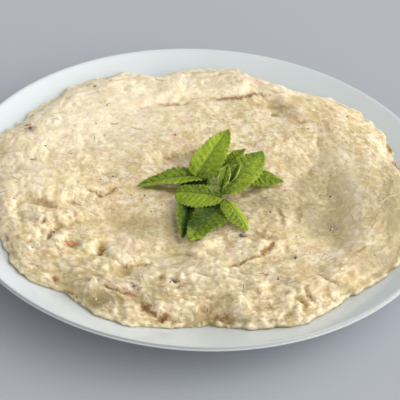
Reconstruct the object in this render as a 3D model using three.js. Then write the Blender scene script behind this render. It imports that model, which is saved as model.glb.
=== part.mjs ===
// Baba ganoush spread on a shallow coupe plate, with a sprig of mint in the middle.
// Millimetres, +Z up. The origin is on the table under the plate's centre; -Y is the side nearest the diner.
import * as THREE from "three";

// ---- the plate
const PLATE_RADIUS = 132.5;
const PLATE_HEIGHT = 25;
const WELL_RADIUS = 62; // the flat middle
const WELL_HEIGHT = 7; // its upper face above the table
const RISE_POWER = 1.6; // how late the wall curves up
const CHINA_THICKNESS = 4;
const CHINA_THICKENING = 0.12; // how much thicker the china is at the rim, as a share
const LIP_RADIUS = 1.7;
const FOOT_INNER_RADIUS = 74;
const FOOT_OUTER_RADIUS = 79;
const FOOT_ROUND = 1;
const PLATE_SIDES = 60;

// ---- the dip
const DIP_RADIUS = 113; // mean radius of its outline
const DIP_LEVEL = 24; // mean height of its top above the table
const EDGE_ROUND = 9; // how far in from the outline the side starts to fall
const UNDERCUT = 1.2; // how far the foot of the side tucks back in
const BELLY_HEIGHT = 2.4; // where the side stands out most, above its foot
const FIT_GAP = 0.3; // between the dip and the glaze
const DIP_RINGS = 32; // ring n has 6n corners
const EDGE_RINGS = 5; // how many of them turn down the side
const UNDERSIDE_CORNERS = 64;
const UNDERSIDE_RINGS = [0.93, 0.85, 0.76, 0.66, 0.54]; // shares of the foot's radius

// ---- the mint
const LEAF_THICKNESS = 0.7;
const LEAF_STEPS = 14;
const LEAF_STEPS_ACROSS = 6;
const TOOTH_DEPTH = 0.1; // how far the margin's teeth stand in and out, as a share of the half-width
const MARGIN_RIPPLE = 0.07; // how far the margin waves up and down, as a share of the half-width
const STEM_STEPS = 3; // for each stretch between two points of a stem's path

const rad = THREE.MathUtils.degToRad;
const clamp01 = (t) => Math.min(1, Math.max(0, t));
const smooth = (t) => clamp01(t) ** 2 * (3 - 2 * clamp01(t));

// ---------------------------------------------------------------- relief noise

// A fixed pseudo-random value from 0 to 1 for each whole-number cell.
function cellValue(i, j, seed) {
  const s = Math.sin(i * 127.1 + j * 311.7 + seed * 74.7) * 43758.5453;
  return s - Math.floor(s);
}

// Smooth noise from -1 to 1 with lumps about `size` mm across.
function noise(x, y, size, seed) {
  const gx = x / size;
  const gy = y / size;
  const i = Math.floor(gx);
  const j = Math.floor(gy);
  const u = smooth(gx - i);
  const v = smooth(gy - j);
  const near = cellValue(i, j, seed) * (1 - u) + cellValue(i + 1, j, seed) * u;
  const far = cellValue(i, j + 1, seed) * (1 - u) + cellValue(i + 1, j + 1, seed) * u;
  return 2 * (near * (1 - v) + far * v) - 1;
}

// ---------------------------------------------------------------- plate

// Height of the plate's upper face at a radius.
function glazeHeight(r) {
  const t = Math.max(0, r - WELL_RADIUS) / (PLATE_RADIUS - WELL_RADIUS);
  return WELL_HEIGHT + (PLATE_HEIGHT - WELL_HEIGHT) * t ** RISE_POWER;
}

// Height of its lower face, outside the foot ring.
const underHeight = (r) => glazeHeight(r) - CHINA_THICKNESS * (1 + CHINA_THICKENING * (r / PLATE_RADIUS));

// Half of the plate's section, from the axis underneath, round the lip, to the axis on top.
function plateSection() {
  const points = [];
  const add = (r, z) => points.push(new THREE.Vector2(r, z));
  const recess = WELL_HEIGHT - CHINA_THICKNESS;
  add(0, recess);
  add(FOOT_INNER_RADIUS - FOOT_ROUND, recess);
  add(FOOT_INNER_RADIUS + FOOT_ROUND * 0.4, FOOT_ROUND * 0.4);
  add(FOOT_INNER_RADIUS + FOOT_ROUND, 0);
  add(FOOT_OUTER_RADIUS - FOOT_ROUND, 0);
  add(FOOT_OUTER_RADIUS, FOOT_ROUND * 0.7);
  for (const r of [FOOT_OUTER_RADIUS + FOOT_ROUND, 92, 106, 120]) add(r, underHeight(r));
  for (const turn of [-65, -25, 15, 55, 95]) {
    const r = PLATE_RADIUS - LIP_RADIUS * (1 - Math.cos(rad(turn)));
    add(r, PLATE_HEIGHT - LIP_RADIUS * (1 - Math.sin(rad(turn))));
  }
  for (const r of [124, 113, 102, 91, 80, 70]) add(r, glazeHeight(r));
  add(WELL_RADIUS - 4, WELL_HEIGHT);
  add(0, WELL_HEIGHT);
  return points;
}

function plateGeometry() {
  return new THREE.LatheGeometry(plateSection(), PLATE_SIDES).rotateX(Math.PI / 2);
}

// ---------------------------------------------------------------- dip

// Where the outline leaves the circle: [angle in degrees, reach in mm, half-width in degrees].
const OUTLINE_LOBES = [
  [166, 3.5, 9],
  [151, 2, 7],
  [131, 2.5, 7],
  [106, -7.5, 4.5],
  [97, -2, 4],
  [84, 1.5, 6],
  [64, -4.5, 11],
  [41, 3.5, 6],
  [30, 3, 5],
  [0, 1.5, 12],
  [-28, 2.5, 9],
  [-45, -1.5, 4],
  [-64, 4.5, 7],
  [-85, -7, 7],
  [-106, 4, 6],
  [-125, -5, 5],
  [-139, 3, 7],
  [-165, -1.5, 8],
];

// Radius of the dip's outline in a direction.
function outlineRadius(angle) {
  let r = DIP_RADIUS + 0.7 * noise(angle * 15, 3, 1, 5) + 0.5 * noise(angle * 34, 9, 1, 8);
  for (const [at, reach, width] of OUTLINE_LOBES) {
    const off = THREE.MathUtils.euclideanModulo(angle * (180 / Math.PI) - at + 180, 360) - 180;
    r += reach * Math.exp(-((off / width) ** 2));
  }
  return r;
}

// Ledges that the spoon left, each along a path with its higher side on the left. `drop` is the step's
// height, `face` the half-width of its steep face, and `reach` how far it takes to even out on either side.
const LEDGES = [
  // the far ring's inner wall
  { path: [[-48, 66], [-30, 74], [-6, 81], [38, 82], [50, 71], [60, 55]], drop: 4.2, face: 1.6, reach: 15 },
  // the shelf on the left
  { path: [[-101, -17], [-88, -22], [-74, -24], [-64, -17], [-34, -5]], drop: 3.2, face: 1.6, reach: 15 },
  // the far wall of the hollow that holds the mint
  { path: [[-30, 8], [-25, 20], [-15, 31], [-3, 36], [12, 38]], drop: 3.4, face: 2.5, reach: 12 },
  // a fold on the near right
  { path: [[14, -68], [28, -66], [37, -60], [44, -51], [46, -42]], drop: 2.6, face: 1.5, reach: 9 },
  // two folds on the near left
  { path: [[-62, -76], [-44, -74], [-30, -69], [-14, -72]], drop: 2.2, face: 1.6, reach: 9 },
  { path: [[-70, -84], [-54, -92], [-38, -97], [-22, -100]], drop: 2.4, face: 1.6, reach: 7 },
];

// Troughs that the spoon pressed: depth, and the half-widths left and right of the path.
const TROUGHS = [
  { path: [[52, 44], [62, 22], [69, 2], [73, -20], [72, -40], [64, -56]], depth: 5.2, left: 11, right: 17 },
  { path: [[-58, -26], [-46, -36], [-30, -44], [-16, -54], [2, -60]], depth: 2.6, left: 13, right: 10 },
  { path: [[-14, 12], [2, 2], [14, -6], [20, -16]], depth: 1.6, left: 17, right: 15 },
];

// Single mounds and pits: [x, y, radius, height].
const MOUNDS = [
  [3, -51, 7, 2.6],
  [17, -38, 8, 2.2],
  [28, -45, 7, 1.8],
  [33, -22, 9, 1.6],
  [-54, -52, 8, 2.2],
  [-78, -38, 9, 2],
  [-88, -6, 12, 1.4],
  [-60, 84, 12, 1.6],
  [-25, 96, 9, 1.4],
  [16, 98, 11, 1.6],
  [78, 62, 12, 1.5],
  [94, -4, 13, 1.8],
  [88, -52, 12, 1.8],
  [62, -80, 10, 1.4],
  [22, -97, 7, 2.4],
  [-14, -97, 8, 2.2],
  [2, -82, 8, 1.6],
  [-44, -62, 3.6, 1.8],
  [-50, -64, 3, -3.6],
  [-64, -57, 4, -2.6],
  [-74, -48, 3.5, -2.6],
  [-36, -78, 5, -2],
  [-10, -85, 4, -2.2],
  [6, -104, 5, -3],
  [-22, -104, 5, -2.6],
  [40, -92, 5, -2],
  [42, 74, 6, -2],
];

// Short radial creases pressed into the near right edge.
const CREASE_ANGLES = [-48, -54, -60, -66];
const CREASE_START = 84; // the radius where they begin
const CREASE_DEPTH = 2;
const CREASE_HALF_WIDTH = 1.7;

// The raised ring round the outside, and the shallow bowl in the middle.
const RING = { radius: 96, spread: 15, height: 1.8 };
const BOWL = { spread: 45, depth: 0.8 };

// Lumps all over the top: size across and height.
const LUMPS = [
  { size: 13, height: 1.0, seed: 1 },
  { size: 6.5, height: 0.7, seed: 2 },
];

// Samples a stroke's path once.
function sampled(stroke) {
  const curve = new THREE.CatmullRomCurve3(stroke.path.map(([x, y]) => new THREE.Vector3(x, y, 0)));
  return { ...stroke, points: curve.getPoints(48) };
}
const ledges = LEDGES.map(sampled);
const troughs = TROUGHS.map(sampled);

// Signed distance from a point to a stroke, positive on its left, and how far along it lies, 0 to 1.
function strokeAt(points, x, y) {
  let best = { distance: Infinity, along: 0 };
  for (let k = 0; k < points.length - 1; k++) {
    const a = points[k];
    const b = points[k + 1];
    const dx = b.x - a.x;
    const dy = b.y - a.y;
    const t = clamp01(((x - a.x) * dx + (y - a.y) * dy) / (dx * dx + dy * dy));
    const offX = x - a.x - t * dx;
    const offY = y - a.y - t * dy;
    const distance = Math.hypot(offX, offY);
    if (distance < Math.abs(best.distance)) {
      const side = dx * offY - dy * offX >= 0 ? 1 : -1;
      best = { distance: side * distance, along: (k + t) / (points.length - 1) };
    }
  }
  return best;
}

// 1 along the middle of a stroke, falling to 0 at its ends.
const fade = (along) => smooth(along / 0.2) * smooth((1 - along) / 0.2);

function ledgeHeight(ledge, x, y) {
  const { distance, along } = strokeAt(ledge.points, x, y);
  const step = Math.tanh(distance / ledge.face) * Math.exp(-Math.abs(distance) / ledge.reach);
  return (ledge.drop / 2) * step * fade(along);
}

function troughHeight(trough, x, y) {
  const { distance, along } = strokeAt(trough.points, x, y);
  const half = distance > 0 ? trough.left : trough.right;
  return -trough.depth * Math.exp(-((distance / half) ** 2)) * fade(along);
}

function creaseHeight(x, y) {
  const r = Math.hypot(x, y);
  const angle = Math.atan2(y, x);
  let depth = 0;
  for (const at of CREASE_ANGLES) {
    depth += Math.exp(-(((r * (angle - rad(at))) / CREASE_HALF_WIDTH) ** 2));
  }
  return -CREASE_DEPTH * depth * smooth((r - CREASE_START) / 12);
}

// How lumpy the top is at a point: roughest on the near side, smoothest where the spoon drew over it.
function roughness(x, y) {
  const drawnSmooth = Math.exp(-(((x + 30) / 50) ** 2) - ((y - 40) / 34) ** 2);
  return 0.75 + 0.55 * smooth((-y - 20) / 50) - 0.45 * drawnSmooth;
}

// Height of the dip's top above the table.
function dipHeight(x, y) {
  const r = Math.hypot(x, y);
  let z = DIP_LEVEL;
  z += RING.height * Math.exp(-(((r - RING.radius) / RING.spread) ** 2));
  z -= BOWL.depth * Math.exp(-((r / BOWL.spread) ** 2));
  for (const ledge of ledges) z += ledgeHeight(ledge, x, y);
  for (const trough of troughs) z += troughHeight(trough, x, y);
  for (const [mx, my, radius, height] of MOUNDS) {
    z += height * Math.exp(-(((x - mx) ** 2 + (y - my) ** 2) / radius ** 2));
  }
  z += creaseHeight(x, y);
  for (const { size, height, seed } of LUMPS) z += roughness(x, y) * height * noise(x, y, size, seed);
  return z;
}

// One ring of points, from a count and a function that gives radius and height in a direction.
function ring(count, at) {
  return Array.from({ length: count }, (_, j) => {
    const angle = (2 * Math.PI * j) / count;
    const [r, z] = at(angle);
    return { x: r * Math.cos(angle), y: r * Math.sin(angle), z };
  });
}

// Joins two rings about the Z axis with triangles, whatever their counts. `inner` is inside or above `outer`.
function joinRings(inner, outer, faces) {
  let i = 0;
  let j = 0;
  while (i < inner.length || j < outer.length) {
    const a = inner[i % inner.length];
    const b = outer[j % outer.length];
    // Whichever ring is behind takes the next step.
    const innerIsNext = (i + 1) / inner.length < (j + 1) / outer.length;
    if (i < inner.length && (j >= outer.length || innerIsNext)) {
      faces.push([a, b, inner[(i + 1) % inner.length]]);
      i += 1;
    } else {
      faces.push([a, b, outer[(j + 1) % outer.length]]);
      j += 1;
    }
  }
}

// A geometry from triangles whose corners are shared point objects.
function geometryFrom(faces) {
  const ids = new Map();
  const positions = [];
  const index = [];
  for (const face of faces) {
    for (const p of face) {
      if (!ids.has(p)) {
        ids.set(p, ids.size);
        positions.push(p.x, p.y, p.z);
      }
      index.push(ids.get(p));
    }
  }
  const geometry = new THREE.BufferGeometry();
  geometry.setAttribute("position", new THREE.Float32BufferAttribute(positions, 3));
  geometry.setIndex(index);
  geometry.computeVertexNormals();
  return geometry;
}

const footRadius = (angle) => outlineRadius(angle) - UNDERCUT;
const footHeight = (angle) => glazeHeight(footRadius(angle)) + FIT_GAP;

// The rings of the top, from the middle out, then a quarter turn down the side, then the undercut foot.
function dipRings() {
  const rings = [];
  const topRings = DIP_RINGS - EDGE_RINGS;
  for (let i = 1; i <= topRings; i++) {
    rings.push(
      ring(6 * i, (angle) => {
        const r = (i / topRings) * (outlineRadius(angle) - EDGE_ROUND);
        return [r, dipHeight(r * Math.cos(angle), r * Math.sin(angle))];
      }),
    );
  }
  for (let k = 1; k <= EDGE_RINGS; k++) {
    const turn = ((k / EDGE_RINGS) * Math.PI) / 2;
    rings.push(
      ring(6 * (topRings + k), (angle) => {
        const r = outlineRadius(angle) - EDGE_ROUND * (1 - Math.sin(turn));
        const top = dipHeight(r * Math.cos(angle), r * Math.sin(angle));
        const belly = footHeight(angle) + BELLY_HEIGHT;
        return [r, belly + (top - belly) * Math.cos(turn)];
      }),
    );
  }
  rings.push(ring(6 * DIP_RINGS, (angle) => [footRadius(angle), footHeight(angle)]));
  return rings;
}

// A fan of triangles from one point to a ring round it.
const fan = (centre, around) => around.map((p, j) => [centre, p, around[(j + 1) % around.length]]);

function dipGeometry() {
  const rings = dipRings();
  const top = fan({ x: 0, y: 0, z: dipHeight(0, 0) }, rings[0]);
  for (let i = 0; i < rings.length - 1; i++) joinRings(rings[i], rings[i + 1], top);

  // The underside follows the glaze.
  const underside = [];
  let outer = rings.at(-1);
  for (const share of UNDERSIDE_RINGS) {
    const inner = ring(UNDERSIDE_CORNERS, (angle) => {
      const r = share * footRadius(angle);
      return [r, glazeHeight(r) + FIT_GAP];
    });
    joinRings(inner, outer, underside);
    outer = inner;
  }
  underside.push(...fan({ x: 0, y: 0, z: WELL_HEIGHT + FIT_GAP }, outer));
  return geometryFrom([...top, ...underside.map(([a, b, c]) => [a, c, b])]);
}

// ---------------------------------------------------------------- mint leaves

// Each leaf runs from its base to its tip. `arch` is how high its middle bows and `half` its half-width.
// `lean` is the share by which the half on its right, seen from its base, is the wider. `fold` is how far
// both halves rise from the midrib, and `roll` how far the right half then tips up about it, in degrees.
// A small `blunt` makes a round base, and a large `point` a long, sharp tip.
const LEAVES = {
  leaf_top: {
    base: [-2.4, 0.2, 27.6], tip: [14, 31, 38], arch: 1.5, half: 8.8,
    lean: 0.2, fold: 12, roll: -7, blunt: 0.2, point: 0.56,
  },
  leaf_left: {
    base: [3, 4, 25.4], tip: [-33.4, -8, 25], arch: 1.9, half: 7.6,
    lean: -0.1, fold: 13, roll: -2, point: 1,
  },
  leaf_back: { base: [13, 8, 27.6], tip: [24, 20, 33], arch: 1, half: 4.6, fold: 12, roll: 10 },
  leaf_right: {
    base: [12, -14.5, 27.2], tip: [33, 14, 36.2], arch: 2, half: 9.1,
    fold: -11, roll: -6, blunt: 0.72, point: 0.6,
  },
  leaf_far_right: { base: [18, 5, 27], tip: [45.4, 1.5, 26], arch: 0.6, half: 6.4, fold: -6, roll: -12 },
  leaf_middle: {
    base: [12, -21.6, 30.6], tip: [-12.6, -17.5, 29.2], arch: 1.6, half: 7.4,
    lean: -0.15, fold: -7, roll: 15, point: 0.4,
  },
  leaf_near_left: {
    base: [-4.4, -18.7, 23.8], tip: [-7.4, -50.4, 25], half: 5.8,
    lean: 0.3, fold: 34, roll: 4, blunt: 0.4, point: 0.75,
  },
  leaf_near: {
    base: [13, -20.5, 26.2], tip: [-4, -53, 26], arch: 1.3, half: 8.9,
    lean: -0.1, fold: 8, point: 0.7,
  },
  leaf_near_right: {
    base: [13.2, -20.1, 29.1], tip: [26, -43.9, 27.5], arch: 1.2, half: 5.5,
    lean: 0.2, fold: -12, roll: 10, blunt: 0.65, point: 0.6,
  },
  leaf_under: { base: [14, -2.2, 24.5], tip: [-10.5, -2.2, 23.4], arch: 0.4, half: 6.2, fold: 3 },
  leaf_bud_left: {
    base: [11.5, -12.6, 30.6], tip: [14.5, 0.9, 36.1], arch: 1, half: 3.3,
    fold: 18, roll: -6,
  },
  leaf_bud_right: {
    base: [16.2, -7.8, 31.5], tip: [21.2, 1.7, 36.5], arch: 1, half: 3,
    fold: 20, roll: 6,
  },
};

// Share of a leaf's half-width at a share of its length: 1 where it is broadest.
function leafOutline(u, blunt, point) {
  const widest = blunt / (blunt + point);
  return (u / widest) ** blunt * ((1 - u) / (1 - widest)) ** point;
}

// A function that gives a point of the leaf at a share along and across, moved off its middle by `lift`.
function leafSurface(leaf) {
  const { base, tip, arch = 0, half, lean = 0, fold, roll = 0, blunt = 0.5, point = 0.85 } = leaf;
  const from = new THREE.Vector3(...base);
  const to = new THREE.Vector3(...tip);
  const along = to.clone().sub(from).normalize();
  const side = new THREE.Vector3().crossVectors(along, new THREE.Vector3(0, 0, 1)).normalize();
  side.applyAxisAngle(along, -rad(roll));
  const up = new THREE.Vector3().crossVectors(side, along).normalize();

  return (u, v, lift) => {
    const tooth = Math.round(u * LEAF_STEPS) % 2 ? TOOTH_DEPTH : -TOOTH_DEPTH;
    const margin = Math.abs(v) === 1 ? 1 + tooth : 1;
    const reach = half * (1 + lean * Math.sign(v)) * leafOutline(u, blunt, point) * margin;
    const bow = 4 * arch * u * (1 - u);
    const rise = Math.abs(v) * reach * Math.sin(rad(fold));
    const ripple = MARGIN_RIPPLE * half * v * v * Math.sin(14 * u + 2 * v);
    return from
      .clone()
      .lerp(to, u)
      .addScaledVector(side, v * reach * Math.cos(rad(fold)))
      .addScaledVector(up, bow + rise + ripple + lift);
  };
}

// One face of the leaf as a grid of points, `upper` 1 or -1. It thins to nothing at the margins.
function leafFace(pointAt, upper) {
  const rows = [];
  for (let i = 0; i <= LEAF_STEPS; i++) {
    const row = [];
    for (let j = 0; j <= LEAF_STEPS_ACROSS; j++) {
      const v = (2 * j) / LEAF_STEPS_ACROSS - 1;
      row.push(pointAt(i / LEAF_STEPS, v, (upper * LEAF_THICKNESS * (1 - v * v)) / 2));
    }
    rows.push(row);
  }
  return rows;
}

// Makes two faces share their margins, their base point and their tip point.
function closeLeaf(top, bottom) {
  for (let i = 0; i <= LEAF_STEPS; i++) {
    bottom[i][0] = top[i][0];
    bottom[i][LEAF_STEPS_ACROSS] = top[i][LEAF_STEPS_ACROSS];
  }
  for (const grid of [top, bottom]) {
    grid[0].fill(top[0][0]);
    grid[LEAF_STEPS].fill(top[LEAF_STEPS][0]);
  }
}

// Two triangles for each cell, split alike on both faces and mirrored about the midrib.
function leafTriangles(grid, flip) {
  const triangles = [];
  for (let i = 0; i < LEAF_STEPS; i++) {
    for (let j = 0; j < LEAF_STEPS_ACROSS; j++) {
      const [a, b] = [grid[i][j], grid[i][j + 1]];
      const [d, c] = [grid[i + 1][j], grid[i + 1][j + 1]];
      const pair = j < LEAF_STEPS_ACROSS / 2 ? [[a, b, c], [a, c, d]] : [[a, b, d], [b, c, d]];
      for (const [p, q, r] of pair) {
        if (p !== q && q !== r && p !== r) triangles.push(flip ? [p, r, q] : [p, q, r]);
      }
    }
  }
  return triangles;
}

function leafGeometry(leaf) {
  const pointAt = leafSurface(leaf);
  const top = leafFace(pointAt, 1);
  const bottom = leafFace(pointAt, -1);
  closeLeaf(top, bottom);
  return geometryFrom([...leafTriangles(top, false), ...leafTriangles(bottom, true)]);
}

// ---------------------------------------------------------------- mint stems

// The main stem comes out of the dip and rises to the leaves in front. The back one runs under the bud.
const STEMS = {
  stem_main: { radius: 0.9, path: [[0, -9.5, 22.9], [6, -11.5, 24.4], [11.5, -14.8, 26.2]] },
  stem_back: { radius: 0.7, path: [[8, 6.4, 23.2], [10.2, 7.8, 24.6], [13, 9.2, 26]] },
  stem_side: { radius: 0.5, path: [[14.5, -16.4, 26.8], [16.5, -16, 27], [19, -15, 26.8]] },
};

function stemGeometry({ radius, path }) {
  const section = new THREE.Shape().absarc(0, 0, radius, 0, 2 * Math.PI);
  return new THREE.ExtrudeGeometry(section, {
    curveSegments: 4,
    steps: STEM_STEPS * (path.length - 1),
    bevelEnabled: false,
    extrudePath: new THREE.CatmullRomCurve3(path.map((p) => new THREE.Vector3(...p))),
  });
}

// ---------------------------------------------------------------- the assembly

const chinaWhite = new THREE.MeshStandardMaterial({ color: "#e6e9e6", roughness: 0.12, metalness: 0 });
const creamDip = new THREE.MeshStandardMaterial({ color: "#e2cfa4", roughness: 0.55, metalness: 0 });
const mintGreen = new THREE.MeshStandardMaterial({ color: "#6f9a2c", roughness: 0.5, metalness: 0 });
const stemBrown = new THREE.MeshStandardMaterial({ color: "#7a6a3c", roughness: 0.5, metalness: 0 });

const dish = new THREE.Group();

function add(name, geometry, material) {
  const mesh = new THREE.Mesh(geometry, material);
  mesh.name = name;
  dish.add(mesh);
}

add("plate", plateGeometry(), chinaWhite);
add("dip", dipGeometry(), creamDip);
for (const [name, leaf] of Object.entries(LEAVES)) add(name, leafGeometry(leaf), mintGreen);
for (const [name, stem] of Object.entries(STEMS)) add(name, stemGeometry(stem), stemBrown);

export default dish;
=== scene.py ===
# %% [markdown]
# # Baba ganoush on a round plate, with a sprig of mint
#
# The dish has three kinds of thing on it: glazed china, a thick paste of mashed aubergine, and fresh leaves.
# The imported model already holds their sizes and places, so it is loaded first and everything is built around
# it. Each step below says what the piece is on the real dish, how it could be made, and why it is made this
# way.

# %% Load the frame
import math
import random

import bpy
import numpy as np
from mathutils import Matrix, Quaternion, Vector, noise
from mathutils.bvhtree import BVHTree


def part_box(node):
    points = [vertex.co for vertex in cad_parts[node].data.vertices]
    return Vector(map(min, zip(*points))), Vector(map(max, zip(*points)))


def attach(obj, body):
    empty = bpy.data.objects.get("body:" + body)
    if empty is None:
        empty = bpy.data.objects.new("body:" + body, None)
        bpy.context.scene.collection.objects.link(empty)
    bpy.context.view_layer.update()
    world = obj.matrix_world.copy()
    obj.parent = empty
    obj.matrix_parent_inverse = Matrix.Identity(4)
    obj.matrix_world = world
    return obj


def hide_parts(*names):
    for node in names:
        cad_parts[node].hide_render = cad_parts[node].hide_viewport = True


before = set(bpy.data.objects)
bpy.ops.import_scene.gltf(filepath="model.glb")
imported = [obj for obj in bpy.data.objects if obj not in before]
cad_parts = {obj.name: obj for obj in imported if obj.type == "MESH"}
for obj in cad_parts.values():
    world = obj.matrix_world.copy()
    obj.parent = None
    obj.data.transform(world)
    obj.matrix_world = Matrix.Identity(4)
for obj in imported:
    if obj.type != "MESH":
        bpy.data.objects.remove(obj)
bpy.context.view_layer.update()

MM = 0.001
UP = Vector((0, 0, 1))
for node in sorted(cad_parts):
    low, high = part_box(node)
    size = [round((b - a) / MM, 1) for a, b in zip(low, high)]
    print(f"{node}: {size} mm, from z = {low.z / MM:.1f} mm")

# %% [markdown]
# Operators act on whatever is selected, and loading leaves every node selected. So each new piece starts with
# an empty selection, and ends with its object at the origin and its place in its mesh, like the nodes.

# %% Helpers for starting and finishing a piece
def deselect_all():
    bpy.ops.object.select_all(action="DESELECT")


def select_only(obj):
    deselect_all()
    obj.select_set(True)
    bpy.context.view_layer.objects.active = obj


def edit_all():
    """Starts editing the active object, with all of it selected."""
    bpy.ops.object.mode_set(mode="EDIT")
    bpy.ops.mesh.select_all(action="SELECT")


def stop_editing():
    bpy.ops.object.mode_set(mode="OBJECT")


def triangles(obj):
    return sum(len(face.vertices) - 2 for face in obj.data.polygons)


def finish_piece(obj, name, material, nodes=()):
    """Names the piece, places it, paints it and ties it to the frame."""
    select_only(obj)
    bpy.ops.object.transform_apply(location=True, rotation=True, scale=True)
    obj.name = obj.data.name = name
    obj.data.materials.clear()
    obj.data.materials.append(material)
    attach(obj, "root")
    if nodes:
        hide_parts(*nodes)
    print(f"{name}: {triangles(obj)} triangles")
    return obj


# %% [markdown]
# A material is a small web of nodes. `new_material` starts one and gives back its shader, `add_node` adds a
# node with its settings, and `put` sets a socket or joins it to another node. The helpers after them are
# short names for the nodes that the finishes use most. The webs could be drawn by hand in the shader editor,
# but written out they can be read and changed in one place.

# %% Helpers for materials
def new_material(name, roughness, **sockets):
    material = bpy.data.materials.new(name)
    material.use_nodes = True
    shader = material.node_tree.nodes["Principled BSDF"]
    shader.inputs["Roughness"].default_value = roughness
    for socket, value in sockets.items():
        shader.inputs[socket.replace("_", " ")].default_value = value
    return material, shader


def add_node(material, kind, settings=(), **inputs):
    node = material.node_tree.nodes.new("ShaderNode" + kind)
    for setting, value in dict(settings).items():
        setattr(node, setting, value)
    for socket, value in inputs.items():
        put(material, value, node.inputs[socket.replace("_", " ")])
    return node


def put(material, value, socket):
    """Sets a socket to a number or colour, or joins another node's output to it."""
    if isinstance(value, bpy.types.NodeSocket):
        material.node_tree.links.new(value, socket)
    else:
        socket.default_value = value


def calculate(material, operation, *values, clamp=False):
    """A Math node, as an output to join onwards."""
    node = add_node(material, "Math", {"operation": operation, "use_clamp": clamp})
    for value, socket in zip(values, node.inputs):
        put(material, value, socket)
    return node.outputs[0]


def between(material, value, low, high, to_low=0.0, to_high=1.0, smooth=True):
    """A Map Range node: value from low..high to to_low..to_high, clamped."""
    kind = "SMOOTHSTEP" if smooth else "LINEAR"
    node = add_node(material, "MapRange", {"interpolation_type": kind})
    for name, number in (("From Min", low), ("From Max", high), ("To Min", to_low), ("To Max", to_high)):
        node.inputs[name].default_value = number
    put(material, value, node.inputs["Value"])
    return node.outputs["Result"]


def blend_colours(material, share, first, second, kind="MIX"):
    """A Mix node for colours: first where share is 0, second where it is 1."""
    node = add_node(material, "Mix", {"data_type": "RGBA", "blend_type": kind})
    for index, value in ((0, share), (6, first), (7, second)):
        put(material, value, node.inputs[index])
    return node.outputs[2]


def speckle(material, vector, scale, detail=2.0, roughness=0.5):
    """A Noise texture's value, from 0 to 1 about 0.5."""
    node = add_node(material, "TexNoise", Vector=vector, Scale=scale, Detail=detail, Roughness=roughness)
    return node.outputs["Fac"]


def read_field(material, name, output="Fac"):
    """The numbers that a mesh keeps for each of its points under a name."""
    return add_node(material, "Attribute", {"attribute_name": name}).outputs[output]


def srgb(red, green, blue):
    """A colour named by its 0..255 values, as the linear numbers that shaders work in."""
    shares = (red / 255, green / 255, blue / 255)
    linear = [c / 12.92 if c <= 0.04045 else ((c + 0.055) / 1.055) ** 2.4 for c in shares]
    return (*linear, 1.0)


# %% [markdown]
# ## The camera
#
# The diner sits back a little and looks down at the plate, with a long lens that keeps its ellipse calm. The
# camera is turned by three degrees about its own view, as a hand-held one often is.

# %% Camera
LOOK_AT = Vector((0.554, -17.227, 25.0)) * MM
LOOK_DOWN = 0.65876  # radians below the horizon
CAMERA_ROLL = 0.05345
CAMERA_DISTANCE = 0.9
FRAME_WIDTH_PX = 400
FOCAL_LENGTH_PX = 1693.49
SENSOR_WIDTH = 36.0

view_direction = Vector((0, math.cos(LOOK_DOWN), -math.sin(LOOK_DOWN)))
straight_up = Vector((1, 0, 0)).cross(view_direction)
camera_right = math.cos(CAMERA_ROLL) * Vector((1, 0, 0)) + math.sin(CAMERA_ROLL) * straight_up
camera_up = -math.sin(CAMERA_ROLL) * Vector((1, 0, 0)) + math.cos(CAMERA_ROLL) * straight_up

deselect_all()
bpy.ops.object.camera_add()
camera = bpy.context.object
camera.name = "camera"
camera.data.sensor_width = SENSOR_WIDTH
camera.data.lens = FOCAL_LENGTH_PX * SENSOR_WIDTH / FRAME_WIDTH_PX
turned = Matrix((camera_right, camera_up, -view_direction)).transposed().to_4x4()
camera.matrix_world = Matrix.Translation(LOOK_AT - CAMERA_DISTANCE * view_direction) @ turned
bpy.context.scene.camera = camera
print(f"camera: {camera.data.lens:.1f} mm lens at {[round(c, 3) for c in camera.location]} m")

# %% [markdown]
# ## Light and floor
#
# The dish stands beside a wide bright wall on its right, which lights it low and softly, so that every fold
# of the paste is lit on one side and shaded on the other. Fainter light from the left and the near side fills
# the shade, and a weak lamp on the right adds a little sparkle. Big lamps could do it all, but they would
# show in the glaze, so the wall and the fill light are a world whose strength depends on direction. A plain
# grey floor carries the dish's shadow.

# %% The room
WALL_STRENGTH = 3.75
REFLECTOR_STRENGTH = 0.9
FRONT_STRENGTH = 0.45

bpy.context.scene.view_settings.view_transform = "Standard"
world = bpy.context.scene.world or bpy.data.worlds.new("room")
bpy.context.scene.world = world
world.use_nodes = True
room = world.node_tree.nodes["Background"]
room.inputs["Color"].default_value = (1.0, 1.0, 1.0, 1.0)
direction = add_node(world, "SeparateXYZ", Vector=add_node(world, "TexCoord").outputs["Generated"]).outputs


def glow(axis, sign, strength):
    """Light from one side of the room, strongest straight along the axis and fading to nothing across it."""
    towards = calculate(world, "MULTIPLY", direction[axis], sign)
    return calculate(world, "MULTIPLY", calculate(world, "MAXIMUM", towards, 0.0), strength)


from_sides = calculate(world, "ADD", glow(0, 1.0, WALL_STRENGTH), glow(0, -1.0, REFLECTOR_STRENGTH))
put(world, calculate(world, "ADD", from_sides, glow(1, -1.0, FRONT_STRENGTH)), room.inputs["Strength"])
print(f"room: {WALL_STRENGTH} on the right, {REFLECTOR_STRENGTH} on the left, {FRONT_STRENGTH} near")

# %% Lamp and floor
KEY_AZIMUTH = 5.0  # degrees from +X towards +Y
KEY_ELEVATION = 30.0
KEY_DISTANCE = 1.5
KEY_SIZE = 0.6
KEY_WATTS = 3.0
FLOOR_SIZE = 6

azimuth, elevation = math.radians(KEY_AZIMUTH), math.radians(KEY_ELEVATION)
level = math.cos(elevation)
towards_key = Vector((math.cos(azimuth) * level, math.sin(azimuth) * level, math.sin(elevation)))
deselect_all()
bpy.ops.object.light_add(type="AREA", location=KEY_DISTANCE * towards_key)
key = bpy.context.object
key.name = "key_lamp"
key.rotation_euler = towards_key.to_track_quat("Z", "Y").to_euler()
key.data.size = KEY_SIZE
key.data.energy = KEY_WATTS

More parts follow.
